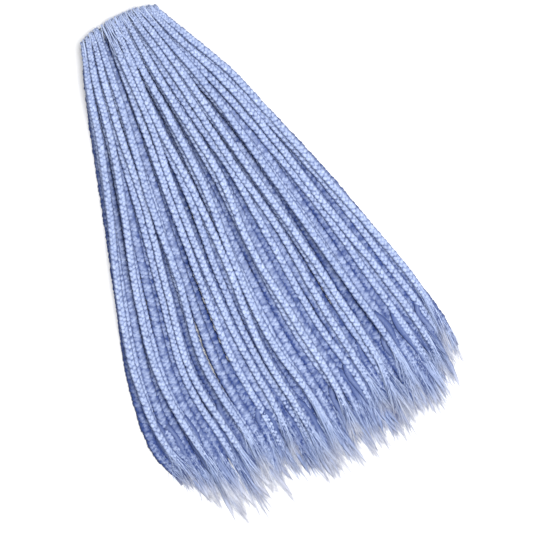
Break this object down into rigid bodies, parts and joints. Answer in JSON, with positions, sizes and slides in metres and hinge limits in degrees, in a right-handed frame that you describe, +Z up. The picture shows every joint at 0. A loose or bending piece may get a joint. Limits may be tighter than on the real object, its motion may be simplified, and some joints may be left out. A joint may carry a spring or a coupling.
{
  "type": "crochet box braid bundle",
  "caption": "Flat-lying bundle of pre-looped synthetic box braids, threaded on an elastic tie by their crochet loops and fanning out to loose brushed tips.",
  "frame": {"origin": "middle of the bundle's footprint, on the surface it lies on", "axes": "+Y from the loose tips to the tied head, +Z up from the surface, +X to the right seen from above with the head away from the viewer"},
  "size_m": [0.2836, 0.457, 0.0243],
  "materials": {
    "hair": "pale periwinkle synthetic hair, plaited, with a soft sheen",
    "tie": "dark matt elastic cord"
  },
  "bodies": {
    "root": {"tie_cord": "tie", "braid_01": "hair", "braid_02": "hair", "braid_03": "hair", "braid_04": "hair", "braid_05": "hair", "braid_06": "hair", "braid_07": "hair", "braid_08": "hair", "braid_09": "hair", "braid_10": "hair", "braid_11": "hair", "braid_12": "hair", "braid_13": "hair", "braid_14": "hair", "braid_15": "hair", "braid_16": "hair", "braid_17": "hair", "braid_18": "hair", "braid_19": "hair", "braid_20": "hair", "braid_21": "hair", "braid_22": "hair", "braid_23": "hair", "braid_24": "hair", "braid_25": "hair", "braid_26": "hair", "braid_27": "hair", "braid_28": "hair", "braid_29": "hair", "braid_30": "hair", "braid_31": "hair", "braid_32": "hair", "braid_33": "hair", "braid_34": "hair", "braid_35": "hair", "braid_36": "hair", "braid_37": "hair", "braid_38": "hair", "braid_39": "hair", "braid_40": "hair", "braid_41": "hair", "braid_42": "hair", "braid_43": "hair", "braid_44": "hair", "braid_45": "hair", "braid_46": "hair", "braid_47": "hair", "braid_48": "hair", "braid_49": "hair", "braid_50": "hair", "braid_51": "hair", "braid_52": "hair"}
  },
  "joints": []
}
